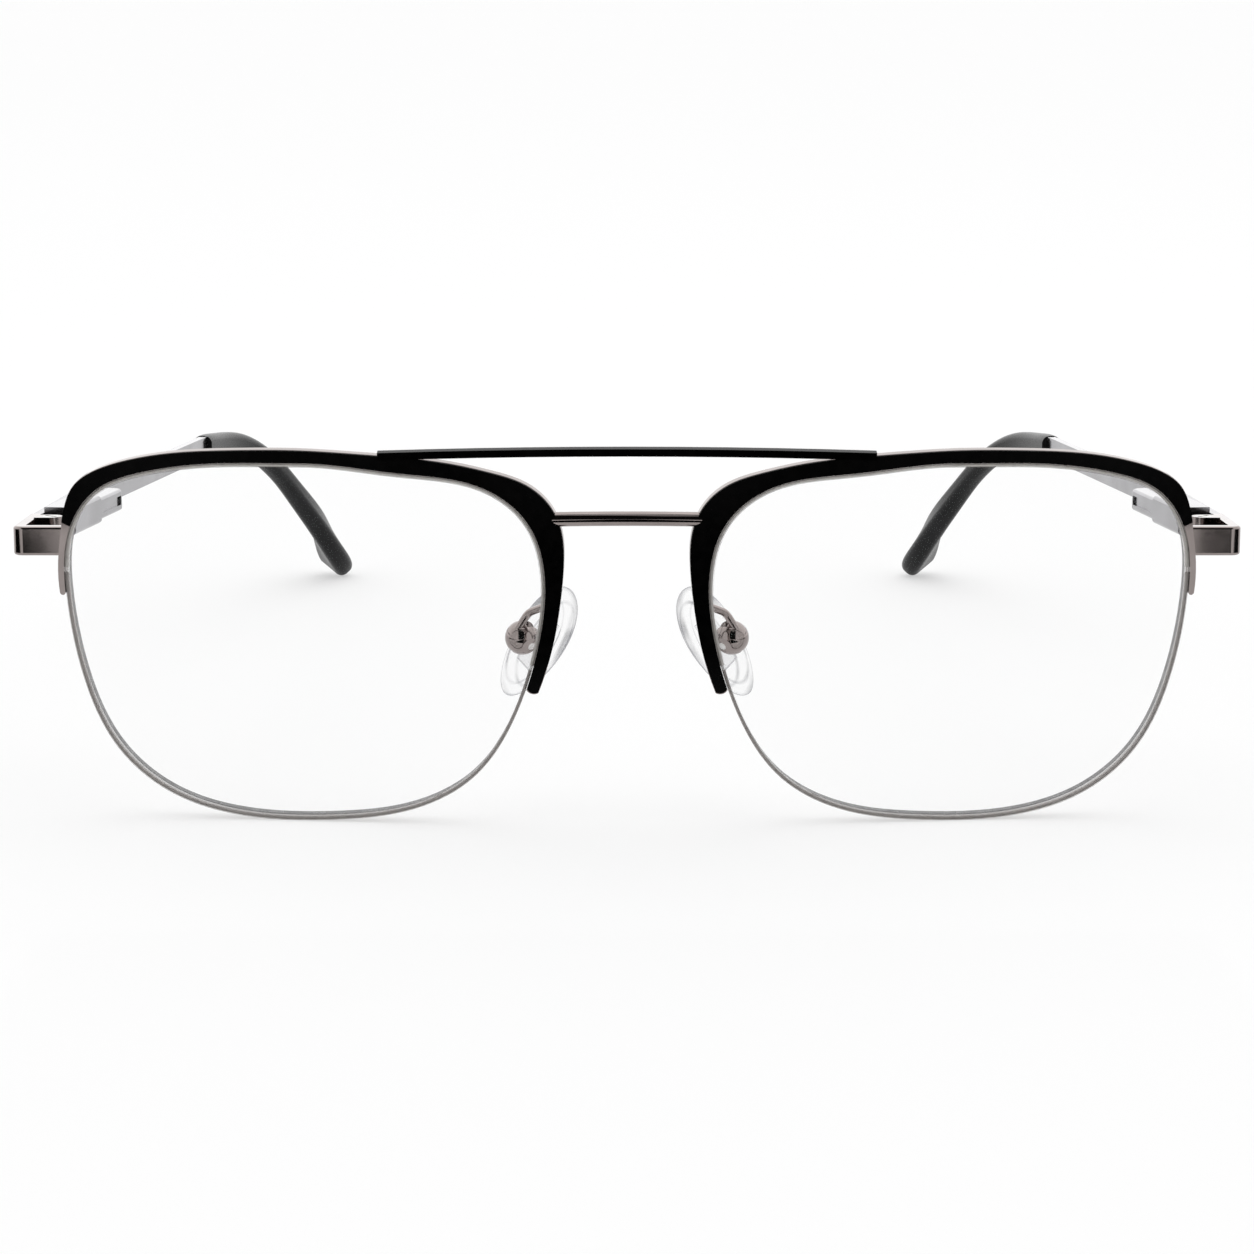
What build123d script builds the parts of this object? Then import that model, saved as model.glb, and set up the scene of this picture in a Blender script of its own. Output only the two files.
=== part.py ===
from build123d import *
from math import atan2, cos, degrees, radians, sin, sqrt
import os

os.makedirs("parts", exist_ok=True)

# Half rim eyeglasses, millimetres. One side, the wearer's left (+X), is modelled and mirrored.
# Front frame: X to the wearer's left, Y towards the face, Z up, lens vertex plane at Y = 0.

# lenses
lens_width = 54.3
lens_height = 42.4
bridge_gap = 18.9               # between the two lenses
lens_curve = 130.0              # radius of the lens front
lens_thick = 1.8
lens_chamfer = 0.15
groove_set = 0.45               # middle of the groove behind the front edge
face_wrap = 4.0                 # degrees each lens is turned outwards
lens_groove = 0.5               # depth of the groove round the lens edge
cord_width = 0.4                # width of the groove, the cord and the rim lining

# browline rim
rim_front = 0.0                 # rim in front of the lens face
rim_back = 0.9                  # rim behind the lens face
tail_round = 0.4                # rounding of the rim's ends, as a share of their width
nose_round = 0.22
rim_gap = 0.05                  # lens edge to rim
rim_slot = 0.35                 # depth of the slot that holds the lining
trim_thick = 0.25               # black trim plate on the rim's front
trim_inset = 0.05               # bright rim edge left beside the trim
tail_share = 0.231              # rim end below the end piece, as a share of the lens outline
trim_share = 0.182              # temporal end of the black trim
nose_share = -0.2925            # rim end beside the nose
lining_end = 0.014              # share of the outline that the cord reaches into the rim
cord_proud = -0.05             # cord just below the lens edge
cord_seat = 0.1                 # cord and lining stand off the groove bottom
lining_gap = 0.004

# bridges
bar_half = 27.6
bar_rise = 23.0                # top of the upper bar above the lens centre, at the middle
bar_drop = 0.45                 # lower at its ends
bar_high = 0.85
bar_deep = 1.1
bar_set = 1.1                   # front of the bar behind the lens vertex
wire_thick = 1.65
wire_half = 8.9
wire_rise = 14.5
wire_arch = 0.3
wire_set = 2.6
wire_bow = 0.7

# nose pads
pad_long = 15.0
pad_wide = 7.8
pad_thick = 2.3
pad_from_middle = 10.0
pad_below = 2.9                 # pad centre below the lens centre
pad_set = 11.2                  # pad centre behind the lens vertex
pad_frontal = 32.0              # degrees the pad's top leans to the nose
pad_splay = 34.0                # degrees its front edge turns out
box_size = 4.0
box_off = 3.1                   # pad box centre off the pad's middle plane
box_flat = 0.86                 # width of the ball's flats, as a share of it
slot_wide = 1.2                 # slot in the pad box for the pad's tongue
slot_past = 0.9                 # slot past the box's middle
tongue_play = 0.1
tongue_wide = 1.7
tongue_sunk = 0.7               # tongue's foot below the pad's back
tongue_past = 0.75              # tongue past the screw
tongue_foot = (6.4, 2.6, 0.5)
pad_round = 0.42                # rounding of the pad, as a share of its thickness
pad_screw_thick = 0.9
pad_screw_wide = 1.53
pad_screw_head = 0.24
pad_screw_slot = 0.22
pad_screw_drop = 0.3            # screw nearer to the pad than the box's middle
screw_play = 0.05
pad_wire_thick = 0.9
pad_wire_share = -0.236         # where the pad arm is brazed to the rim
pad_wire_out = 0.55             # out from the lens edge there
pad_wire_sunk = 0.4
pad_wire_lift = 1.4             # its other end beside the box's middle, clear of the slot
pad_wire_back = (0.2, 5.0, -0.6)
pad_wire_over = 3.2             # top of the pad arm over its box
pad_wire_bend = 1.5

# end piece and hinge, in the worn frame: temples level, Z = 0 at the temple's middle
hinge_rise = 12.5               # temple line above the lens centre
panto = 8.55                    # degrees between front and temples
end_outer = 69.4
end_inner = 63.4
end_set = 4.0                   # front of the end piece behind the lens vertex
end_thick = 1.35
end_high = 3.3
end_level = -0.75
end_round = 1.2
end_edge = 0.3                  # rounding of the end piece's edges
foot_thick = 0.35               # foot of the hinge on the end piece
butt_set = 15.4                 # where the end piece stops and the temple starts
butt_gap = 0.2
hinge_inset = 3.1               # hinge axis inside the outer face
hinge_back = 11.6
knuckle_round = 1.3
knuckle_high = 0.95
hinge_level = -0.4              # middle of the hinge
knuckle_gap = 0.06
hinge_screw_thick = 1.1
screw_head_thick = 1.9
screw_head_high = 0.35
screw_slot_wide = 0.28
screw_slot_deep = 0.15
screw_slot_turn = 40            # degrees
bush_wall = 0.2
bush_play = 0.03

# temple
toe_in = 6.8                    # degrees the temple runs inwards
arm_thick = 1.3
arm_high = 2.9
butt_top = 0.8
butt_low = -1.95
arm_step_long = 4.0
arm_end_long = 15.0
arm_edge = 0.3                  # rounding along the arm
arm_long = 77.5                 # butt to the start of the tip sleeve
core_thick = 1.3
core_high = 1.9
core_corner = 0.3               # corner radius, as a share of its thickness
core_end = 0.9                  # share of the sleeve that the core wire fills

# spring unit on the temple's inside
case_start = 1.2
case_block_long = 10.7
case_long = 21.0
case_wide = 3.0
case_block_high = 3.3
case_block_level = -0.15
case_tail_high = 2.6
case_tail_level = -0.1
case_bore = 1.5
case_nose = 1.6                 # solid nose in front of the spring
case_end_wall = 1.0             # plugged end of the bore short of the case's end
case_edge = 0.5                 # rounding of the case's long edges
case_tail_edge = 0.4
case_tail_round = 0.45          # rounding of the tail's end, as a share of the case's width
case_plug_long = 1.6
rod_thick = 0.8
rod_play = 0.05
rod_sunk = 0.5                  # rod into the knuckle's neck
neck_gap = 0.1                  # neck to the case
window_long = 7.6
window_high = 1.1
window_deep = 0.25
window_set = 0.9                # window behind the case's step
spring_wire = 0.22
spring_play = 0.05
spring_turns = 10
spring_end_gap = 0.02
stop_long = 1.0
stop_play = 0.08
slide_travel = 0.6

# lens outline: shares of half the lens width and half the lens height, from the top, outwards
outline = [
    (-0.003, 0.999), (0.351, 0.986), (0.666, 0.918), (0.854, 0.812), (0.973, 0.597),
    (1.000, 0.232), (0.946, -0.216), (0.808, -0.633), (0.590, -0.875), (0.277, -0.991),
    (-0.097, -0.998), (-0.434, -0.934), (-0.697, -0.746), (-0.868, -0.420), (-0.975, 0.008),
    (-1.001, 0.399), (-0.936, 0.670), (-0.763, 0.861), (-0.411, 0.950),
]
# width of the rim beyond the lens edge along the outline: (share of the outline, width)
brow_widths = [
    (tail_share, 0.72), (0.205, 0.76), (0.187, 0.95), (0.172, 1.6), (0.158, 2.1), (0.145, 1.98),
    (0.125, 1.75), (0.090, 1.6), (0.045, 1.46), (0.0, 1.47), (-0.045, 1.65), (-0.100, 1.75),
    (-0.130, 2.0), (-0.150, 2.8), (-0.168, 3.15), (-0.184, 2.9), (-0.202, 2.3), (-0.225, 1.8),
    (-0.255, 1.65), (nose_share, 1.45),
]
# tip sleeve: (inwards, back from the arm's end, up, thickness, height, twist in degrees)
sleeve_run = [
    (0.0, 0.0, 0.0, 2.6, 3.1, 0),
    (-0.1, 8.8, -0.5, 2.7, 3.1, 0),
    (-1.1, 17.4, -1.6, 2.7, 3.1, 2),
    (-3.6, 26.0, -5.5, 2.7, 3.0, 6),
    (-5.9, 33.0, -11.1, 2.8, 3.1, 14),
    (-7.8, 39.6, -16.8, 3.0, 4.5, 30),
    (-8.5, 45.0, -21.3, 3.2, 6.0, 46),
    (-8.5, 48.2, -23.6, 2.9, 5.3, 50),
]
sleeve_sections = 13
sleeve_round = 1.1              # rounding of the sleeve's end
sleeve_corner = 0.42            # corner radius, as a share of its thickness

cut_past = 1.0                  # cutting tools reach past what they cut
hair = 0.01

half_wide = lens_width / 2
half_high = lens_height / 2
lens_middle = (bridge_gap + lens_width) / 2
hinge_x = end_outer - hinge_inset
lens_line = Spline([(x * half_wide, y * half_high) for x, y in outline], periodic=True)
lens_place = Plane(
    (lens_middle, 0, 0),
    x_dir=(cos(radians(face_wrap)), sin(radians(face_wrap)), 0),
    z_dir=(sin(radians(face_wrap)), -cos(radians(face_wrap)), 0),
).location
temple_place = Pos(end_outer, butt_set, 0) * Rot(0, 0, toe_in)


# ---- front ----
def edge_point(share, out):
    """Point at a share of the lens outline, moved outwards in the lens plane."""
    spot = lens_line.position_at(share % 1)
    along = lens_line.tangent_at(share % 1)
    return Vector(spot.X - along.Y * out, spot.Y + along.X * out)


def even_stations(start, stop, out, count=26):
    step = (stop - start) / (count - 1)
    return [(start + i * step, out) for i in range(count)]


def band_end(inside, outside, where, bulge):
    """Edge that closes a band, straight or bulging out past its end."""
    start = inside @ where
    stop = outside @ where
    if not bulge:
        return Line(start, stop)
    out_way = (inside % where) * (1 if where else -1)
    return ThreePointArc(start, (start + stop) / 2 + out_way * bulge * (stop - start).length, stop)


def band(inner, outer, first_bulge=0, last_bulge=0):
    """Face between two rows of (share, offset) stations along the lens outline."""
    inside = Spline([edge_point(*row) for row in inner])
    outside = Spline([edge_point(*row) for row in outer])
    first = band_end(inside, outside, 0, first_bulge)
    last = band_end(inside, outside, 1, last_bulge)
    return make_face([inside, last, outside, first])


def ring_face(out):
    """Closed face of the lens outline grown by out."""
    count = 48
    return make_face(Spline([edge_point(i / count, out) for i in range(count)], periodic=True))


def shell(front, back):
    """Spherical layer from in front of the lens face to behind it."""
    ball = Sphere(lens_curve + front) - Sphere(lens_curve - back)
    return Pos(0, 0, -lens_curve) * Rot(90, 0, 0) * ball


def slab(face, front, back):
    """Face along the lens axis, cut to a layer that follows the lens curve."""
    reach = 14
    return extrude(Pos(0, 0, -reach + 4) * face, reach) & shell(front, back)


def groove_layer():
    return -(groove_set - cord_width / 2), groove_set + cord_width / 2


def make_lens():
    front, back = groove_layer()
    blank = slab(ring_face(0), 0, lens_thick)
    blank = chamfer(blank.edges(), lens_chamfer)
    return blank - slab(ring_face(1) - ring_face(-lens_groove), front, back)


def cut_stations(rows, start, stop):
    """Stations of a width row between two shares, ends included."""
    def width_at(share):
        for (a, wa), (b, wb) in zip(rows, rows[1:]):
            if b <= share <= a:
                return wa + (wb - wa) * (a - share) / (a - b)
    inner = [row for row in rows if stop < row[0] < start]
    return [(start, width_at(start))] + inner + [(stop, width_at(stop))]


def make_rim():
    front, back = groove_layer()
    inside = even_stations(tail_share, nose_share, rim_gap)
    body = slab(band(inside, brow_widths, tail_round, nose_round), rim_front, rim_back)
    slot = band(
        even_stations(tail_share + 0.01, nose_share - 0.01, rim_gap - 0.3),
        even_stations(tail_share + 0.01, nose_share - 0.01, rim_gap + rim_slot),
    )
    return body - slab(slot, front, back)


def make_trim():
    nose_end = nose_share + 0.001
    rows = [(share, width - trim_inset) for share, width in brow_widths]
    rows = cut_stations(rows, trim_share, nose_end)
    inside = even_stations(trim_share, nose_end, rim_gap + trim_inset)
    return slab(band(inside, rows, 0, nose_round), rim_front + trim_thick, -rim_front)


def make_lining():
    front, back = groove_layer()
    start = tail_share - lining_end - lining_gap
    stop = nose_share + lining_end + lining_gap
    inside = even_stations(start, stop, cord_seat - lens_groove)
    outside = even_stations(start, stop, rim_gap + rim_slot)
    return slab(band(inside, outside), front, back)


def make_cord():
    front, back = groove_layer()
    start = tail_share - lining_end
    stop = 1 + nose_share + lining_end
    inside = even_stations(start, stop, cord_seat - lens_groove, 34)
    outside = even_stations(start, stop, cord_proud, 34)
    return slab(band(inside, outside), front, back)


def make_top_bar(rims):
    end_z = bar_rise - bar_drop
    top = ThreePointArc((-bar_half, end_z), (0, bar_rise), (bar_half, end_z))
    low = ThreePointArc((bar_half, end_z - bar_high), (0, bar_rise - bar_high), (-bar_half, end_z - bar_high))
    outline_face = make_face([top, Line(top @ 1, low @ 0), low, Line(low @ 1, top @ 0)])
    bar = extrude(Plane.XZ * outline_face, -bar_deep)
    return main_piece(Pos(0, bar_set, 0) * bar - rims)


def main_piece(shape):
    """The largest solid that a cut leaves."""
    return shape.solids().sort_by(SortBy.VOLUME)[-1]


def make_bridge_wire(rims):
    ends = [(side * wire_half, wire_set, wire_rise) for side in (-1, 1)]
    line = ThreePointArc(ends[0], (0, wire_set - wire_bow, wire_rise + wire_arch), ends[1])
    start = Plane(line @ 0, z_dir=line % 0)
    return main_piece(sweep(start * Circle(wire_thick / 2), path=line) - rims)


# ---- nose pads, in the front frame ----
def pad_axes():
    """Long, outward and crosswise directions of the pad."""
    lean = radians(pad_frontal)
    turn = radians(pad_splay)
    long_way = Vector(-sin(lean), 0, cos(lean))
    out_way = Vector(cos(turn), -sin(turn), 0)
    out_way = (out_way - long_way * out_way.dot(long_way)).normalized()
    return long_way, out_way


def pad_frame():
    """Local frame of the pad: X along its length, Z towards the pad box."""
    long_way, out_way = pad_axes()
    centre = Vector(pad_from_middle, pad_set, -pad_below)
    return Plane(centre, x_dir=long_way, z_dir=out_way).location


def make_pad_ball():
    """Ball with two flats that the pad box is cut from, in the pad's own frame."""
    return Pos(0, 0, box_off) * (Sphere(box_size / 2) & Box(box_size, box_size * box_flat, box_size))


def make_pad_group():
    """Pad, its tongue, the box with its slot and the screw, in the pad's own frame."""
    box_wide = box_size * box_flat
    slot_deep = box_size / 2 + slot_past
    box = make_pad_ball() - Pos(0, 0, box_off + slot_past - slot_deep / 2) * Box(2 * box_size, slot_wide, slot_deep)
    screw_line = Pos(0, 0, box_off - pad_screw_drop) * Rot(90, 0, 0)
    screw = screw_line * Cylinder(pad_screw_thick / 2, box_wide)
    box -= screw
    head_top = box_wide / 2 + pad_screw_head
    head = Cylinder(pad_screw_wide / 2, pad_screw_head)
    screw += screw_line * Pos(0, 0, head_top - pad_screw_head / 2) * head
    screw -= screw_line * Pos(0, 0, head_top) * Box(pad_screw_slot, box_size, pad_screw_head)
    tongue_low = pad_thick / 2 - tongue_sunk
    tongue_top = box_off - pad_screw_drop + tongue_past
    tongue_at = Pos(0, 0, (tongue_low + tongue_top) / 2)
    tongue = tongue_at * Box(tongue_wide, slot_wide - 2 * tongue_play, tongue_top - tongue_low)
    tongue += Pos(0, 0, tongue_low) * Box(*tongue_foot)
    tongue -= screw_line * Cylinder(pad_screw_thick / 2 + screw_play, box_size)
    blank = Ellipse(pad_long / 2, pad_wide / 2)
    pad = extrude(Pos(0, 0, -pad_thick / 2) * blank, pad_thick)
    pad = fillet(pad.edges(), pad_thick * pad_round)
    pad -= tongue
    return {"nose_pad": pad, "pad_tongue": tongue, "pad_box": box, "pad_screw": screw}


def make_pad_arm(rim):
    """Wire from the back of the rim, back and round to the pad box."""
    long_way = pad_axes()[0]
    box_end = (pad_frame() * Pos(0, 0, box_off + pad_wire_lift)).position
    spot = edge_point(pad_wire_share, pad_wire_out)
    sag = lens_curve - sqrt(lens_curve ** 2 - spot.X ** 2 - spot.Y ** 2)
    root = (lens_place * Pos(spot.X, spot.Y, -sag - rim_back + pad_wire_sunk)).position
    back_bend = root + Vector(*pad_wire_back)
    box_bend = box_end + long_way * pad_wire_over
    line = FilletPolyline(root, back_bend, box_bend, box_end, radius=pad_wire_bend)
    wire = sweep(Plane(line @ 0, z_dir=line % 0) * Circle(pad_wire_thick / 2), path=line)
    return main_piece(wire - rim - pad_frame() * make_pad_ball())


# ---- end piece and hinge, in the worn frame ----
def make_end_piece(rim):
    path = [
        (end_inner, end_set), (end_outer, end_set), (end_outer, butt_set - butt_gap),
        (end_outer - end_thick, butt_set - butt_gap), (end_outer - end_thick, end_set + end_thick),
        (end_inner, end_set + end_thick),
    ]
    plan = make_face(Polyline(*path, close=True))
    body = extrude(Pos(0, 0, end_level - end_high / 2) * plan, end_high)
    corner = body.edges().filter_by(Axis.Z).sort_by(lambda edge: edge.center().X - edge.center().Y)[-1]
    body = fillet(corner, end_round)
    front_edges = body.edges().filter_by(lambda edge: edge.center().X > end_outer - end_thick / 2 or
                                         edge.center().Y < end_set + end_thick / 2)
    body = fillet([edge for edge in front_edges if abs(edge.center().Z - end_level) > end_high / 4], end_edge)
    return main_piece(body - rim)


def knuckle_levels():
    """Lower and upper heights of the bottom, middle and top knuckles."""
    step = knuckle_high + knuckle_gap
    middles = [hinge_level + i * step for i in (-1, 0, 1)]
    return [(middle - knuckle_high / 2, middle + knuckle_high / 2) for middle in middles]


def disc(low, high, radius):
    return Pos(hinge_x, hinge_back, (low + high) / 2) * Cylinder(radius, high - low)


def make_hinge_front():
    """Two knuckles on a foot brazed inside the end piece."""
    levels = knuckle_levels()
    bottom = levels[0][0]
    top = levels[2][1]
    face_x = end_outer - end_thick
    foot = Box(foot_thick, 2 * knuckle_round, top - bottom)
    body = Pos(face_x - foot_thick / 2, hinge_back, hinge_level) * foot
    for low, high in (levels[0], levels[2]):
        neck = Box(face_x - hinge_x, 2 * knuckle_round, high - low)
        body += Pos((hinge_x + face_x) / 2, hinge_back, (low + high) / 2) * neck
        body += disc(low, high, knuckle_round)
    hole = disc(bottom - cut_past, top + cut_past, hinge_screw_thick / 2)
    return body - hole - disc(top - screw_head_high, top + cut_past, screw_head_thick / 2)


def make_hinge_screw():
    levels = knuckle_levels()
    top = levels[2][1]
    shank = disc(levels[0][0], top - screw_head_high, hinge_screw_thick / 2)
    head = disc(top - screw_head_high, top, screw_head_thick / 2)
    slot = Box(2 * screw_head_thick, screw_slot_wide, 2 * screw_slot_deep)
    return shank + head - Pos(hinge_x, hinge_back, top) * Rot(0, 0, screw_slot_turn) * slot


def make_hinge_bush():
    low, high = knuckle_levels()[1]
    inner = hinge_screw_thick / 2 + bush_play
    return disc(low, high, inner + bush_wall) - disc(low - cut_past, high + cut_past, inner)


# ---- temple, in its own frame: Y back along the temple, X = 0 on its outer face ----
def knuckle_spot():
    """The hinge axis in the temple's frame."""
    spot = temple_place.inverse() * Pos(hinge_x, hinge_back, 0)
    return spot.position


def rod_x():
    return knuckle_spot().X


def along_rod(start, stop, radius):
    """Round bar along the spring rod's axis."""
    return Pos(rod_x(), (start + stop) / 2, hinge_level) * Rot(90, 0, 0) * Cylinder(radius, stop - start)


def make_slider():
    """Middle knuckle with its neck and the rod through the spring."""
    low, high = knuckle_levels()[1]
    spot = knuckle_spot()
    knuckle = Pos(spot.X, spot.Y, (low + high) / 2) * Cylinder(knuckle_round, high - low)
    neck_long = case_start - spot.Y - neck_gap
    neck = Pos(spot.X, spot.Y + neck_long / 2, (low + high) / 2) * Box(rod_thick, neck_long, high - low)
    rod = along_rod(spot.Y + neck_long - rod_sunk, rod_end(), rod_thick / 2)
    bush_round = hinge_screw_thick / 2 + bush_play + bush_wall
    hole = Pos(spot.X, spot.Y, 0) * Cylinder(bush_round + bush_play, case_long)
    return knuckle + neck + rod - hole


def rod_end():
    return case_start + case_long - case_plug_long - slide_travel - case_end_wall


def make_spring_case():
    """Long block on the temple's inside with the spring bore and a shallow window."""
    inner = -arm_thick
    tail_start = case_start + case_block_long
    tail_end = case_start + case_long
    tail_long = tail_end - tail_start
    wide = inner - (rod_x() - case_wide / 2)
    middle = inner - wide / 2
    block = Box(wide, case_block_long, case_block_high)
    block = Pos(middle, (case_start + tail_start) / 2, case_block_level) * block
    block = fillet(block.edges().filter_by(Axis.Y).group_by(Axis.X)[0], case_edge)
    tail = Pos(middle, (tail_start + tail_end) / 2, case_tail_level) * Box(wide, tail_long, case_tail_high)
    corner = tail.edges().filter_by(Axis.Z).sort_by(lambda edge: edge.center().Y - edge.center().X)[-1]
    tail = fillet(corner, wide * case_tail_round)
    tail = fillet(tail.edges().filter_by(Axis.Y).group_by(Axis.X)[0], case_tail_edge)
    body = block + tail
    body -= along_rod(case_start + case_nose, tail_end - case_end_wall, case_bore / 2)
    body -= along_rod(case_start - cut_past, case_start + case_nose + cut_past, rod_thick / 2 + rod_play)
    window = Box(2 * window_deep, window_long, window_high)
    return body - Pos(middle - wide / 2, tail_start + window_long / 2 + window_set, case_tail_level) * window


def make_case_plug():
    end = case_start + case_long - case_end_wall
    return along_rod(end - case_plug_long + case_end_wall, end, case_bore / 2)


def make_stop():
    """Nut on the rod's end that the spring pushes on."""
    ring = along_rod(rod_end() - stop_long, rod_end(), case_bore / 2 - stop_play)
    return ring - along_rod(rod_end() - stop_long - cut_past, rod_end() + cut_past, rod_thick / 2)


def make_spring():
    start = case_start + case_nose + spring_end_gap
    length = rod_end() - stop_long - start - spring_end_gap
    coil_round = rod_thick / 2 + spring_play + spring_wire / 2
    rise = length - spring_wire
    line = Helix(pitch=rise / spring_turns, height=rise, radius=coil_round)
    coil = sweep(Plane(line @ 0, z_dir=line % 0) * Circle(spring_wire / 2), path=line)
    return Pos(rod_x(), start + spring_wire / 2, hinge_level) * Rot(-90, 0, 0) * coil


def sleeve_line():
    """Middle line of the tip sleeve, level where it leaves the arm."""
    spots = [(-arm_thick / 2 + x, arm_long + y, z) for x, y, z, *_ in sleeve_run]
    return Spline(*spots, tangents=[(0, 1, 0), (0, 1, -0.8)])


def sleeve_value(share, column):
    """Size or twist of the sleeve at a share of its run, between the listed stations."""
    spots = [row[1] - row[2] for row in sleeve_run]
    reach = spots[0] + share * (spots[-1] - spots[0])
    for low, high, start, stop in zip(spots, spots[1:], sleeve_run, sleeve_run[1:]):
        if reach <= high + 1e-6:
            return start[column] + (stop[column] - start[column]) * (reach - low) / (high - low)


def across_sleeve(line, share):
    """Plane across the sleeve, its X level and its Z along the run."""
    along = line.tangent_at(share, position_mode=PositionMode.LENGTH)
    spot = line.position_at(share, position_mode=PositionMode.LENGTH)
    return Plane(spot, x_dir=Vector(0, 0, 1).cross(along), z_dir=along)


def make_sleeve_body():
    line = sleeve_line()
    sections = []
    for i in range(sleeve_sections):
        share = i / (sleeve_sections - 1)
        thick, high, turn = [sleeve_value(share, column) for column in (3, 4, 5)]
        outline_face = RectangleRounded(thick, high, sleeve_corner * thick)
        sections.append(across_sleeve(line, share * line.length) * Rot(0, 0, turn) * outline_face)
    body = loft(sections)
    end_face = body.faces().sort_by(Axis.Z)[0]
    return fillet(end_face.edges(), sleeve_round)


def make_core():
    """Flat core wire inside the tip sleeve."""
    line = sleeve_line()
    sections = []
    for i in range(sleeve_sections):
        share = core_end * i / (sleeve_sections - 1)
        plane = across_sleeve(line, share * line.length) * Rot(0, 0, sleeve_value(share, 5))
        sections.append(plane * RectangleRounded(core_thick, core_high, core_corner * core_thick))
    return loft(sections)


def make_arm():
    """Strip from the butt to the sleeve, deeper and lower at the hinge end."""
    side = make_face(Polyline(
        (0, butt_top), (arm_end_long, arm_high / 2), (arm_long, arm_high / 2), (arm_long, -arm_high / 2),
        (arm_end_long + arm_step_long, -arm_high / 2), (arm_end_long, butt_low), (0, butt_low), close=True))
    strip = extrude(Plane.YZ * side, -arm_thick)
    outer = strip.faces().sort_by(Axis.X)[-1]
    runs = [edge for edge in outer.edges() if hair < edge.center().Y < arm_long - hair]
    return fillet(runs, arm_edge)


# ---- assembly ----
def both_sides(name, shape):
    return {name + "_l": shape, name + "_r": mirror(shape, about=Plane.YZ)}


def build_all():
    worn = {}
    front_place = Pos(0, 0, -hinge_rise) * Rot(panto, 0, 0)
    rim, trim, lining = [front_place * lens_place * maker() for maker in (make_rim, make_trim, make_lining)]
    brow = rim + trim
    for name, shape in (("lens", front_place * lens_place * make_lens()), ("brow_trim", trim),
                        ("rim_lining", lining), ("nylon_cord", front_place * lens_place * make_cord()),
                        ("brow_rim", rim)):
        worn.update(both_sides(name, shape))
    rims_in_front = front_place.inverse() * (brow + mirror(brow, about=Plane.YZ))
    worn["top_bar"] = front_place * make_top_bar(rims_in_front)
    worn["bridge_wire"] = front_place * make_bridge_wire(rims_in_front)
    pads = {name: pad_frame() * shape for name, shape in make_pad_group().items()}
    rim_in_front = front_place.inverse() * rim
    pads["pad_arm"] = make_pad_arm(rim_in_front)
    for name, shape in pads.items():
        worn.update(both_sides(name, front_place * shape))
    for name, shape in (("end_piece", make_end_piece(rim + lining)), ("hinge_front", make_hinge_front()),
                        ("hinge_screw", make_hinge_screw()), ("hinge_bush", make_hinge_bush())):
        worn.update(both_sides(name, shape))
    arm = make_arm() + make_core()
    temple = {
        "temple_arm": arm, "temple_tip": main_piece(make_sleeve_body() - arm),
        "hinge_slider": make_slider(), "spring_case": make_spring_case(), "case_plug": make_case_plug(),
        "spring_stop": make_stop(), "hinge_spring": make_spring(),
    }
    for name, shape in temple.items():
        worn.update(both_sides(name, temple_place * shape))
    return worn


def standing(worn):
    """Turn the worn model so that lenses and tips rest on the floor, and centre it."""
    lens_box = worn["lens_l"].bounding_box()
    tip_box = worn["temple_tip_l"].bounding_box()
    slope = 0.0
    for _ in range(4):
        turn = Rot(-slope, 0, 0)
        low_lens = (turn * worn["nylon_cord_l"]).bounding_box().min.Z
        low_tip = (turn * worn["temple_tip_l"]).bounding_box().min.Z
        slope += degrees(atan2(low_tip - low_lens, tip_box.max.Y - lens_box.max.Y))
    turn = Rot(-slope, 0, 0)
    boxes = [(turn * shape).bounding_box() for shape in worn.values()]
    front = min(box.min.Y for box in boxes)
    back = max(box.max.Y for box in boxes)
    return slope, Pos(0, -(front + back) / 2, -min(box.min.Z for box in boxes)) * turn


if __name__ == "__main__":
    parts = build_all()
    slope, place = standing(parts)
    print("stand", slope, *place.position)
    for name, shape in parts.items():
        export_step(place * shape, f"parts/{name}.step")
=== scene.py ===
from math import cos, pi, radians, sin
import bpy
import numpy as np
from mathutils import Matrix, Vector


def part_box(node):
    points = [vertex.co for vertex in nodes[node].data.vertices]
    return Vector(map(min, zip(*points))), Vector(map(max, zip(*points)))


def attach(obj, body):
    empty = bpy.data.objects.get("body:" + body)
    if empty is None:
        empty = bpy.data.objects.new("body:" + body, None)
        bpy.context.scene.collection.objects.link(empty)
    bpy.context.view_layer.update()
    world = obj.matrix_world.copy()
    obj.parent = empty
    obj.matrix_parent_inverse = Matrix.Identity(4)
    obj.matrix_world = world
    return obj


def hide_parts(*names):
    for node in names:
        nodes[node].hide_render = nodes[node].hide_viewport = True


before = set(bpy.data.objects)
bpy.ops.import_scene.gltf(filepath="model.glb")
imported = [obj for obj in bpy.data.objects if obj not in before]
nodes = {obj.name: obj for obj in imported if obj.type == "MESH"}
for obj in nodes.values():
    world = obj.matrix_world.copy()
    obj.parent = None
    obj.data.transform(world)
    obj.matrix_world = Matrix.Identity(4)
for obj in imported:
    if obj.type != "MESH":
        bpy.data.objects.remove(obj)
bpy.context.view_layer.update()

# Half rim eyeglasses. Metres, Z up, the wearer looks along -Y, lenses and tips stand on the floor at Z = 0.
sides = {"l": 1, "r": -1}


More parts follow.
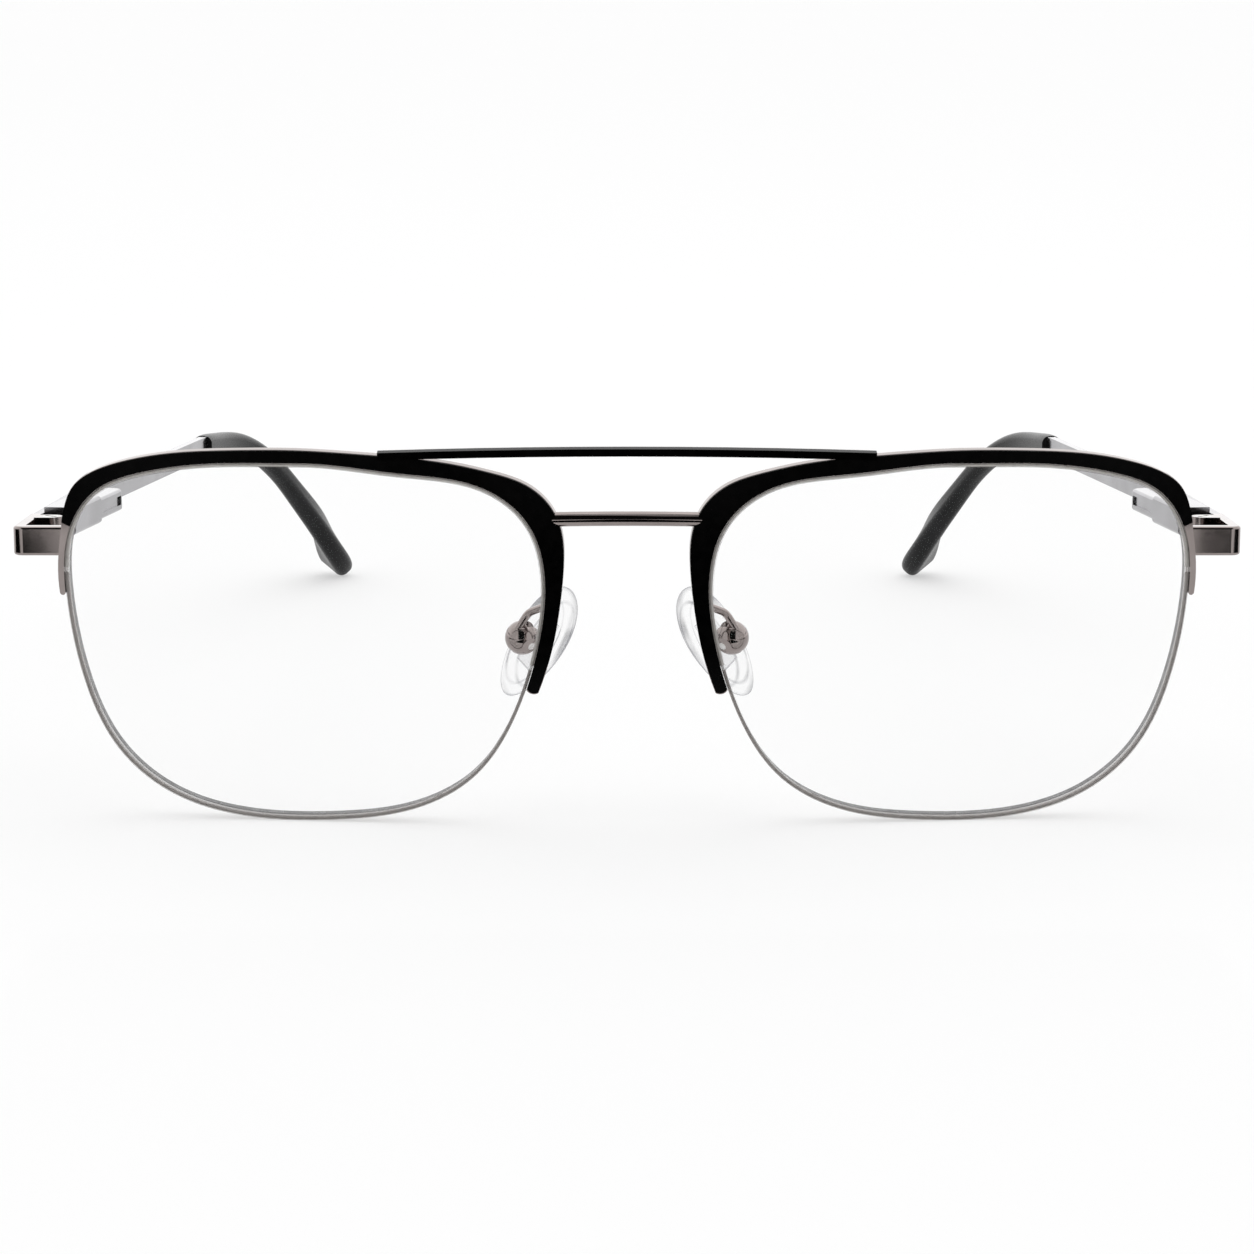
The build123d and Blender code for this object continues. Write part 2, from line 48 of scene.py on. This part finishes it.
class Value:                                  # a socket that can be used in sums
    def __init__(self, finish, socket):
        self.finish = finish
        self.socket = socket

    def sum(self, operation, first, second):
        return self.finish.add("ShaderNodeMath", {"operation": operation}, {0: first, 1: second})

    def __add__(self, other):
        return self.sum("ADD", self, other)

    def __radd__(self, other):
        return self.sum("ADD", other, self)

    def __sub__(self, other):
        return self.sum("SUBTRACT", self, other)

    def __rsub__(self, other):
        return self.sum("SUBTRACT", other, self)

    def __mul__(self, other):
        return self.sum("MULTIPLY", self, other)

    def __rmul__(self, other):
        return self.sum("MULTIPLY", other, self)


class Finish:                                 # one material, or the world, built from nodes
    def __init__(self, name, fixed=None, store="materials", shader="Principled BSDF"):
        self.data = getattr(bpy.data, store).new(name)
        self.data.use_nodes = True
        self.tree = self.data.node_tree
        self.shader = self.tree.nodes[shader]
        for socket, value in (fixed or {}).items():
            self.shader.inputs[socket].default_value = value

    def add(self, kind, settings=None, sockets=None, out=0):
        node = self.tree.nodes.new(kind)
        for name, value in (settings or {}).items():
            setattr(node, name, value)
        for name, value in (sockets or {}).items():
            if isinstance(value, Value):
                self.tree.links.new(value.socket, node.inputs[name])
            else:
                node.inputs[name].default_value = value
        return Value(self, node.outputs[out])

    def feed(self, socket, value):
        self.tree.links.new(value.socket, self.shader.inputs[socket])

    def place(self):                          # position on the piece, in metres
        return self.add("ShaderNodeTexCoord", out="Object")

    def stretched(self, scale):               # position with each axis scaled on its own
        return self.add("ShaderNodeVectorMath", {"operation": "MULTIPLY"}, {0: self.place(), 1: scale})

    def along(self, vector, axis):            # how far a vector reaches along an axis
        return self.add("ShaderNodeVectorMath", {"operation": "DOT_PRODUCT"},
                        {0: vector, 1: tuple(axis)}, out=1)

    def awayFrom(self, point):
        return self.add("ShaderNodeVectorMath", {"operation": "DISTANCE"},
                        {0: self.place(), 1: tuple(point)}, out=1)

    def turnedAway(self, blend, kind="Facing"):
        return self.add("ShaderNodeLayerWeight", {}, {"Blend": blend}, out=kind)

    def split(self, vector):                  # its three parts
        first = self.add("ShaderNodeSeparateXYZ", {}, {0: vector})
        return [Value(self, socket) for socket in first.socket.node.outputs]

    def noise(self, scale, detail=3.0, rough=0.5, where=None):
        return self.add("ShaderNodeTexNoise", {}, {
            "Vector": where or self.place(), "Scale": scale, "Detail": detail, "Roughness": rough})

    def ramp(self, value, low, high):         # 0 at low, 1 at high
        return self.add("ShaderNodeMapRange", {"clamp": True}, {0: value, 1: low, 2: high})

    def blend(self, factor, first, second):
        return self.add("ShaderNodeMix", {"data_type": "RGBA"}, {0: factor, 6: first, 7: second}, out=2)

    def bump(self, height, depth, strength):
        normal = self.add("ShaderNodeBump", {}, {"Strength": strength, "Distance": depth, "Height": height})
        self.feed("Normal", normal)


# In the finishes a noise is its scale, detail and roughness, and "Edges" are where a ramp starts and ends.
plating = {
    "light": (0.31, 0.272, 0.262, 1), "dark": (0.255, 0.222, 0.213, 1), "polish": 0.04,
    "armLight": (0.36, 0.355, 0.37, 1), "armDark": (0.29, 0.285, 0.295, 1), "armPolish": 0.12,
    "armBrushing": (1, 0.08, 1),              # the arms are brushed lengthways
    "cloud": (180.0, 4.0), "cloudEdges": (0.35, 0.65), "cloudDull": 0.03,
    "grain": (5200.0, 2.0), "grainDull": 0.03, "grainDepth": 3e-7, "grainStrength": 0.5,
}


def makePlating(name, light, dark, polish, brushing=(1, 1, 1)):
    finish = Finish(name, {"Metallic": 1.0})
    clouds = finish.ramp(finish.noise(*plating["cloud"]), *plating["cloudEdges"])
    finish.feed("Base Color", finish.blend(clouds, dark, light))
    grain = finish.noise(*plating["grain"], where=finish.stretched(brushing))
    finish.feed("Roughness", polish + grain * plating["grainDull"] + clouds * plating["cloudDull"])
    finish.bump(grain, plating["grainDepth"], plating["grainStrength"])
    return finish.data


enamel = {
    "colour": (0.0006, 0.0006, 0.0006, 1), "worn": (0.0016, 0.0015, 0.0015, 1), "wornEdges": (0.4, 0.7),
    "peel": (900.0, 2.0), "peelDepth": 4e-6, "peelStrength": 0.4,
    "polish": 0.14, "dust": (2600.0, 3.0), "dustDull": 0.1, "gloss": 0.03,
}


def makeEnamel():
    finish = Finish("blackEnamel", {"Specular IOR Level": enamel["gloss"]})
    peel = finish.noise(*enamel["peel"])
    worn = finish.ramp(peel, *enamel["wornEdges"])
    finish.feed("Base Color", finish.blend(worn, enamel["colour"], enamel["worn"]))
    finish.feed("Roughness", enamel["polish"] + finish.noise(*enamel["dust"]) * enamel["dustDull"])
    finish.bump(peel, enamel["peelDepth"], enamel["peelStrength"])
    return finish.data


acetate = {
    "deep": (0.003, 0.003, 0.0033, 1), "smoke": (0.008, 0.008, 0.009, 1),
    "marble": (140.0, 5.0, 0.6), "marbleEdges": (0.35, 0.7),
    "skin": (3800.0, 3.0), "skinDull": 0.12, "skinDepth": 1e-5, "skinStrength": 0.35,
    "satin": 0.22, "gloss": 0.16,
}


def makeAcetate():
    finish = Finish("charcoalAcetate", {"Specular IOR Level": acetate["gloss"]})
    marble = finish.ramp(finish.noise(*acetate["marble"]), *acetate["marbleEdges"])
    finish.feed("Base Color", finish.blend(marble, acetate["deep"], acetate["smoke"]))
    skin = finish.noise(*acetate["skin"])
    finish.feed("Roughness", acetate["satin"] + skin * acetate["skinDull"])
    finish.bump(skin, acetate["skinDepth"], acetate["skinStrength"])
    return finish.data


steel = {
    "light": (0.72, 0.71, 0.70, 1), "dark": (0.52, 0.51, 0.50, 1), "polish": 0.16,
    "turned": (2400.0, 2.0), "turnedDull": 0.14, "turnedDepth": 3e-6, "turnedStrength": 0.5,
}


def makeSteel():
    finish = Finish("screwSteel", {"Metallic": 1.0})
    turned = finish.noise(*steel["turned"])
    finish.feed("Base Color", finish.blend(turned, steel["dark"], steel["light"]))
    finish.feed("Roughness", steel["polish"] + turned * steel["turnedDull"])
    finish.bump(turned, steel["turnedDepth"], steel["turnedStrength"])
    return finish.data


nylon = {
    "nylonCord": {"light": (0.36, 0.335, 0.32, 1), "dark": (0.28, 0.26, 0.25, 1), "satin": 0.35},
    "rimLining": {"light": (0.62, 0.60, 0.57, 1), "dark": (0.5, 0.48, 0.46, 1), "satin": 0.45},
    "bushNylon": {"light": (0.82, 0.82, 0.79, 1), "dark": (0.74, 0.74, 0.71, 1), "satin": 0.4},
    "drawn": (1500.0, 3.0), "drawnDull": 0.12,
}


def makeNylon(name):
    finish = Finish(name)
    kind = nylon[name]
    drawn = finish.noise(*nylon["drawn"])
    finish.feed("Base Color", finish.blend(drawn, kind["dark"], kind["light"]))
    finish.feed("Roughness", kind["satin"] + drawn * nylon["drawnDull"])
    return finish.data


def readAll(items, field, size=3):            # one row for each vertex or face
    values = np.empty(len(items) * size)
    items.foreach_get(field, values)
    return values.reshape(-1, size)


def fitLens(side):                            # centre and radius of the lens front, and the way it faces
    mesh = nodes["lens_" + side].data
    normals = readAll(mesh.polygons, "normal")
    areas = readAll(mesh.polygons, "area", 1)
    facing = normals[:, 1] < clearLens["facing"]
    axis = (normals[facing] * areas[facing]).sum(0)
    axis /= np.linalg.norm(axis)
    corners = np.array([face.vertices[0] for face in mesh.polygons])
    front = readAll(mesh.vertices, "co")[corners[facing]]
    table = np.hstack([2 * front, np.ones((len(front), 1))])
    answer = np.linalg.lstsq(table, (front ** 2).sum(1), rcond=None)[0]
    centre = answer[:3]
    return centre, float(np.sqrt(answer[3] + centre @ centre)), axis


clearLens = {
    "facing": -0.8,                           # faces that look forwards more than this are the front
    # The edge colours are painted shade and a painted reflection on the clear lens wall: dark brown-grey at
    # its front, light at its back, a dark line on the back bevel.
    "tint": (0.16, 0.19, 0.18, 1), "edgeFrontShade": (0.30, 0.275, 0.262, 1), "edgeBackReflection": (0.72, 0.70, 0.69, 1),
    "edgeShadeLine": (0.20, 0.20, 0.21, 1), "wallEdges": (0.97, 0.9), "bevelEdges": (0.2, 0.4),
    "backEdges": (0.0007, 0.0009), "polish": 0.03, "sheet": 0.006, "turn": 0.2, "rim": 0.10,
    "haze": (60.0, 2.0), "hazeShare": 0.004, "wall": 0.5,
}


def makeLensMaterial(side):
    centre, radius, axis = fitLens(side)
    finish = Finish("clearLens_" + side, {"Roughness": clearLens["polish"], "IOR": 1.5})
    normal = finish.add("ShaderNodeNewGeometry", out="True Normal")
    facing = finish.add("ShaderNodeMath", {"operation": "ABSOLUTE"}, {0: finish.along(normal, axis)})
    wall = finish.ramp(facing, *clearLens["wallEdges"])
    bevel = finish.ramp(facing, *clearLens["bevelEdges"]) * wall
    # The wall is painted with shade at its front and on its back bevel, and with a reflection at its back,
    # in place of the light bent by the clear plastic.
    depth = finish.ramp(radius - finish.awayFrom(centre), *clearLens["backEdges"])
    wallShadeAndReflection = finish.blend(depth, clearLens["edgeFrontShade"], clearLens["edgeBackReflection"])
    tone = finish.blend(bevel * depth, wallShadeAndReflection, clearLens["edgeShadeLine"])
    finish.feed("Base Color", finish.blend(wall, clearLens["tint"], tone))
    sheen = finish.turnedAway(clearLens["turn"], "Fresnel") * clearLens["rim"]
    haze = finish.noise(*clearLens["haze"]) * clearLens["hazeShare"]
    finish.feed("Alpha", clearLens["sheet"] + sheen + haze + wall * clearLens["wall"])
    return finish.data


silicone = {
    # edge is the painted shade colour of the dark lines and outlines on the clear pad; the lip line and the
    # inner ring line are painted shade.
    "edge": (0.10, 0.10, 0.12, 1), "body": (0.62, 0.63, 0.67, 1), "clear": 0.02, "polish": 0.05,
    "lip": 0.7, "lipEdges": (0.86, 0.98),     # the edges are shares of the pad's reach, squared
    "step": 0.6, "stepStart": (0.50, 0.56), "stepEnd": (0.64, 0.58),
    "turn": 0.5, "outline": 0.5, "outlineEdges": (0.5, 0.85),
    "cloud": (500.0, 3.0), "cloudDull": 0.05, "cloudHaze": 0.03,
    "patch": (220.0, 1.0), "patchEdges": (0.4, 0.6), "patchFaint": 0.25, "patchStrong": 0.75,
}


def padAxes(name):                            # its long, wide and thin directions, and its reach along each
    mesh = nodes[name].data
    middles = np.array([face.center for face in mesh.polygons])
    areas = np.array([face.area for face in mesh.polygons])
    spread = middles - np.average(middles, axis=0, weights=areas)
    axes = np.linalg.eigh((spread * areas[:, None]).T @ spread)[1].T[::-1]
    reach = np.array([vertex.co for vertex in mesh.vertices]) @ axes.T
    return axes, reach.min(axis=0), reach.max(axis=0)


def makeSilicone(side):                       # clear, with painted shade: a dark line along its rim, a dark inner ring, and dark outlines where it turns away
    axes, low, high = padAxes("nose_pad_" + side)
    finish = Finish("clearSilicone_" + side, {"IOR": 1.42})
    long, wide = [(finish.along(finish.place(), axes[i]) - (low[i] + high[i]) / 2) * (2 / (high[i] - low[i]))
                  for i in (0, 1)]
    reach = long * long + wide * wide
    lip = finish.ramp(reach, *silicone["lipEdges"])
    step = finish.ramp(reach, *silicone["stepStart"]) * finish.ramp(reach, *silicone["stepEnd"])
    # Painted shade: darker and less clear where the pad turns away from the view.
    outline = finish.ramp(finish.turnedAway(silicone["turn"]), *silicone["outlineEdges"])
    cloud = finish.noise(*silicone["cloud"])
    patch = finish.ramp(finish.noise(*silicone["patch"]), *silicone["patchEdges"])
    lines = lip * silicone["lip"] + step * silicone["step"]
    shade = finish.add("ShaderNodeMath", {"operation": "MAXIMUM"}, {0: lines, 1: outline})
    finish.feed("Base Color", finish.blend(shade, silicone["body"], silicone["edge"]))
    finish.feed("Roughness", silicone["polish"] + cloud * silicone["cloudDull"])
    drawn = lines * (silicone["patchFaint"] + patch * silicone["patchStrong"])
    haze = cloud * silicone["cloudHaze"]
    finish.feed("Alpha", silicone["clear"] + haze + drawn + outline * silicone["outline"])
    return finish.data


insert = {"turn": 0.5, "clear": 0.12, "outline": 0.6, "outlineEdges": (0.4, 0.9)}


def makeInsert():                             # the hard tongue moulded in the pad
    finish = Finish("padInsert", {"IOR": 1.49})
    # Painted shade: the tongue is darker and less clear where it turns away from the view.
    turn = finish.turnedAway(insert["turn"])
    finish.feed("Base Color", finish.blend(turn, silicone["body"], silicone["edge"]))
    finish.feed("Alpha", insert["clear"] + finish.ramp(turn, *insert["outlineEdges"]) * insert["outline"])
    return finish.data


finishes = {
    "plating": makePlating("gunmetalPlating", plating["light"], plating["dark"], plating["polish"]),
    "armPlating": makePlating("armPlating", plating["armLight"], plating["armDark"], plating["armPolish"],
                              plating["armBrushing"]),
    "enamel": makeEnamel(),
    "acetate": makeAcetate(),
    "steel": makeSteel(),
    "cord": makeNylon("nylonCord"),
    "lining": makeNylon("rimLining"),
    "bush": makeNylon("bushNylon"),
    "insert": makeInsert(),
    "silicone_l": makeSilicone("l"),
    "silicone_r": makeSilicone("r"),
    "lens_l": makeLensMaterial("l"),
    "lens_r": makeLensMaterial("r"),
}
nodeFinish = {
    "brow_rim": "plating", "brow_trim": "enamel", "rim_lining": "lining", "nylon_cord": "cord",
    "top_bar": "enamel", "bridge_wire": "plating", "pad_box": "plating", "pad_screw": "steel",
    "pad_arm": "plating", "pad_tongue": "insert", "end_piece": "plating",
    "hinge_front": "plating", "hinge_screw": "steel", "hinge_bush": "bush", "hinge_slider": "steel",
    "spring_stop": "steel", "hinge_spring": "steel", "spring_case": "armPlating", "case_plug": "steel",
    "temple_arm": "armPlating", "temple_tip": "acetate",
}


def dressNodes():                             # lenses and pads have a finish for each side
    for name, piece in nodes.items():
        base = name[:-2] if name[-2:] in ("_l", "_r") else name
        key = nodeFinish.get(base, name.replace("nose_pad", "silicone"))
        piece.data.materials.clear()
        piece.data.materials.append(finishes[key])


dressNodes()
print("finishes on", len(nodes), "pieces of the frame")


def addObject(name, data):
    thing = bpy.data.objects.new(name, data)
    bpy.context.scene.collection.objects.link(thing)
    return thing


def addMesh(name, points, faces, finish):
    mesh = bpy.data.meshes.new(name)
    mesh.from_pydata([tuple(p) for p in points], [], faces)
    mesh.materials.append(finish)
    return addObject(name, mesh)


def band(start, count):                       # faces between one ring of points and the next
    return [(start + i, start + (i + 1) % count, start + count + (i + 1) % count, start + count + i)
            for i in range(count)]


# A ring just inside the lens wall, painted with the shade and reflection of each lens's ground edge as it
# shows through the glass.
edgeShadeRing = {
    "points": 260, "rows": 4, "inset": (0.00002, 0.00032), "depth": (0.0001, 0.0015), "facing": 0.9,
    # outer and line are painted shade colours, middle is a painted reflection.
    "outer": (0.30, 0.265, 0.25, 1), "middle": (0.86, 0.85, 0.845, 1), "line": (0.07, 0.068, 0.07, 1),
    "middleEdges": (0.4, 0.46), "lineEdges": (0.72, 0.76), "satin": 0.3, "gloss": 0.2,
    "streak": (700.0, 3.0), "streakShare": 0.25, "solid": 0.95, "middleClear": 0.5, "lineSolid": 0.45,
}


def lensOutline(side, axis):                  # evenly spaced points where the front face ends
    mesh = nodes["lens_" + side].data
    spot = {vertex.index: tuple(round(c, 7) for c in vertex.co) for vertex in mesh.vertices}
    used = {}
    for face in mesh.polygons:
        if face.normal.dot(Vector(axis)) > edgeShadeRing["facing"]:
            ring = [spot[i] for i in face.vertices]
            for a, b in zip(ring, ring[1:] + ring[:1]):
                used.setdefault(frozenset((a, b)), []).append((a, b))
    follow = {pair[0][0]: pair[0][1] for pair in used.values() if len(pair) == 1}
    loop = [next(iter(follow))]
    while follow[loop[-1]] != loop[0]:
        loop.append(follow[loop[-1]])
    line = np.array(loop + loop[:1])
    run = np.concatenate([[0], np.linalg.norm(np.diff(line, axis=0), axis=1).cumsum()])
    where = np.linspace(0, run[-1], edgeShadeRing["points"], endpoint=False)
    return np.stack([np.interp(where, run, line[:, i]) for i in range(3)], axis=1)


def makeEdgeShadeMaterial(side, centre, radius):
    finish = Finish("edgeShadeRing_" + side,
                    {"Roughness": edgeShadeRing["satin"], "Specular IOR Level": edgeShadeRing["gloss"]})
    across = finish.ramp(radius - finish.awayFrom(centre), *edgeShadeRing["depth"])
    middle = finish.ramp(across, *edgeShadeRing["middleEdges"])
    line = finish.ramp(across, *edgeShadeRing["lineEdges"])
    # Painted shade in the outer band and the inner line, a painted reflection in the middle band.
    tone = finish.blend(middle, edgeShadeRing["outer"], edgeShadeRing["middle"])
    finish.feed("Base Color", finish.blend(line, tone, edgeShadeRing["line"]))
    streak = finish.noise(*edgeShadeRing["streak"]) * edgeShadeRing["streakShare"]
    clear = middle * edgeShadeRing["middleClear"]
    finish.feed("Alpha", edgeShadeRing["solid"] - streak - clear + line * edgeShadeRing["lineSolid"])
    return finish.data


def makeEdgeShadeRing(side):
    centre, radius, axis = fitLens(side)
    line = lensOutline(side, axis)
    inward = np.cross(np.roll(line, -1, axis=0) - np.roll(line, 1, axis=0), axis)
    inward /= np.linalg.norm(inward, axis=1)[:, None]
    if ((line.mean(axis=0) - line[0]) * inward[0]).sum() < 0:
        inward = -inward
    points = []
    for part in np.linspace(0, 1, edgeShadeRing["rows"] + 1):
        inset = np.interp(part, (0, 1), edgeShadeRing["inset"])
        depth = np.interp(part, (0, 1), edgeShadeRing["depth"])
        points.extend(line + inward * inset - axis * depth)
    faces = [face for row in range(edgeShadeRing["rows"]) for face in band(row * len(line), len(line))]
    piece = addMesh("edge_shade_ring_" + side, points, faces, makeEdgeShadeMaterial(side, centre, radius))
    piece.data.shade_smooth()
    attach(piece, "front")


nosePad = {
    "around": 36, "rounds": 2,
    "narrow": 0.14,                           # its lower end is this much narrower than its middle
    # rings from the skin side to the back: share of the outline, share of the thickness
    "rings": ((0.42, 0.98), (0.7, 0.88), (0.88, 0.7), (0.985, 0.42), (1.0, 0.22), (0.93, 0.04),
              (0.8, 0.0), (0.7, 0.12), (0.35, 0.2)),
}


def makeNosePad(side):
    axes, low, high = padAxes("nose_pad_" + side)
    for i, wrongWay in ((0, axes[0][2] < 0), (2, axes[2][0] * sides[side] > 0)):
        if wrongWay:                          # long points up, and the skin side looks at the nose
            axes[i], low[i], high[i] = -axes[i], -high[i], -low[i]
    middle = (low + high) / 2
    half = (high - low) / 2
    count = nosePad["around"]
    rings = nosePad["rings"]

    def place(long, wide, rise):
        flat = axes[0] * (middle[0] + long) + axes[1] * (middle[1] + wide)
        return flat + axes[2] * (low[2] + 2 * half[2] * rise)

    points = [place(0, 0, 1)]
    for size, rise in rings:
        for i in range(count):
            turn = 2 * pi * i / count
            wide = half[1] * cos(turn) * (1 + nosePad["narrow"] * sin(turn)) * size
            points.append(place(half[0] * sin(turn) * size, wide, rise))
    points.append(place(0, 0, rings[-1][1]))
    last = 1 + (len(rings) - 1) * count
    faces = [(0, 1 + i, 1 + (i + 1) % count) for i in range(count)]
    faces += [(a, d, c, b) for row in range(len(rings) - 1) for a, b, c, d in band(1 + row * count, count)]
    faces += [(last + (i + 1) % count, last + i, len(points) - 1) for i in range(count)]
    pad = addMesh("soft_pad_" + side, points, faces, finishes["silicone_" + side])
    pad.data.shade_smooth()
    smooth = pad.modifiers.new("smooth", "SUBSURF")
    smooth.levels = smooth.render_levels = nosePad["rounds"]
    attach(pad, "pad_" + side)
    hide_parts("nose_pad_" + side)


for side in sides:
    makeEdgeShadeRing(side)
    makeNosePad(side)
print("lens edges and nose pads are in")


floorPlan = {
    "half": 15.0, "colour": (0.5, 0.5, 0.5, 1), "glow": 0.43, "roughness": 0.9, "gloss": 0.1,
    "cardColour": (0.004, 0.004, 0.004, 1), "cardHigh": 0.0005,
    # corners of one side's cards, x from the middle and y from the front of the trim
    "cards": (((0, -0.85), (0.06, -0.85), (0.06, -0.035), (0, -0.035)),
              ((0.1160, -0.28), (0.160, -0.28), (0.200, -0.48), (0.1540, -0.48)),
              ((0.2, -0.25), (0.5, -0.25), (0.5, 0.05), (0.2, 0.05))),
}


def makeFloor():
    half = floorPlan["half"]
    finish = Finish("paleFloor", {
        "Base Color": floorPlan["colour"], "Roughness": floorPlan["roughness"],
        "Specular IOR Level": floorPlan["gloss"],
        "Emission Color": (1, 1, 1, 1), "Emission Strength": floorPlan["glow"]})
    corners = [(-half, -half, 0), (half, -half, 0), (half, half, 0), (-half, half, 0)]
    addMesh("floor", corners, [(0, 1, 2, 3)], finish.data)


def makeCards():                              # dark cards on the floor that only the polished metal sees
    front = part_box("brow_trim_l")[0][1]
    points = [(x * side, front + y, floorPlan["cardHigh"])
              for side in sides.values() for card in floorPlan["cards"] for x, y in card]
    faces = [tuple(range(i, i + 4)) for i in range(0, len(points), 4)]
    finish = Finish("darkCard", {
        "Base Color": floorPlan["cardColour"], "Roughness": 1.0, "Specular IOR Level": 0.0})
    cards = addMesh("darkCards", points, faces, finish.data)
    for kind in ("camera", "diffuse", "transmission", "volume_scatter", "shadow"):
        setattr(cards, "visible_" + kind, False)


room = {                                      # a white room with a dark doorway behind the camera
    "bright": 1.05, "dark": 0.01, "backBright": 0.42, "backEdges": (-0.2, 0.4),
    "doorSides": (0.22, 0.12), "doorAhead": (-0.15, -0.25), "doorTop": (0.97, 0.93),
}


def makeWorld():
    world = Finish("studio", {"Color": (1, 1, 1, 1)}, "worlds", "Background")
    bpy.context.scene.world = world.data
    side, ahead, up = world.split(world.add("ShaderNodeTexCoord", out="Generated"))
    door = (world.ramp(side * side, *room["doorSides"]) * world.ramp(ahead, *room["doorAhead"])
            * world.ramp(up, *room["doorTop"]))
    back = world.ramp(ahead, *room["backEdges"]) * room["backBright"]
    world.feed("Strength", room["bright"] - door * (room["bright"] - room["dark"]) + back)


softbox = {"size": 0.9, "energy": 1.0, "place": (0.1, -0.1, 0.9), "aim": (0, -0.02, 0)}


def makeLight():
    data = bpy.data.lights.new("softbox", "AREA")
    data.size = softbox["size"]
    data.energy = softbox["energy"]
    light = addObject("softbox", data)
    light.location = softbox["place"]
    aim = Vector(softbox["place"]) - Vector(softbox["aim"])
    light.rotation_euler = aim.to_track_quat("Z", "Y").to_euler()


viewpoint = {"focal": 90.16, "sensor": 36.0, "near": 0.01, "back": 0.3464, "high": 0.10403, "tilt": 76.8}


def makeCamera():                             # placed from the lowest point of the lenses
    lowest = min((v.co for s in sides for v in nodes["lens_" + s].data.vertices), key=lambda co: co.z)
    data = bpy.data.cameras.new("camera")
    data.sensor_width = viewpoint["sensor"]
    data.lens = viewpoint["focal"]
    data.clip_start = viewpoint["near"]
    camera = addObject("camera", data)
    camera.location = (0, lowest.y - viewpoint["back"], viewpoint["high"])
    camera.rotation_euler = (radians(viewpoint["tilt"]), 0, 0)
    bpy.context.scene.camera = camera


makeFloor()
makeCards()
makeWorld()
makeLight()
makeCamera()
bpy.context.scene.view_settings.view_transform = "Standard"
print("floor, light and camera are in")
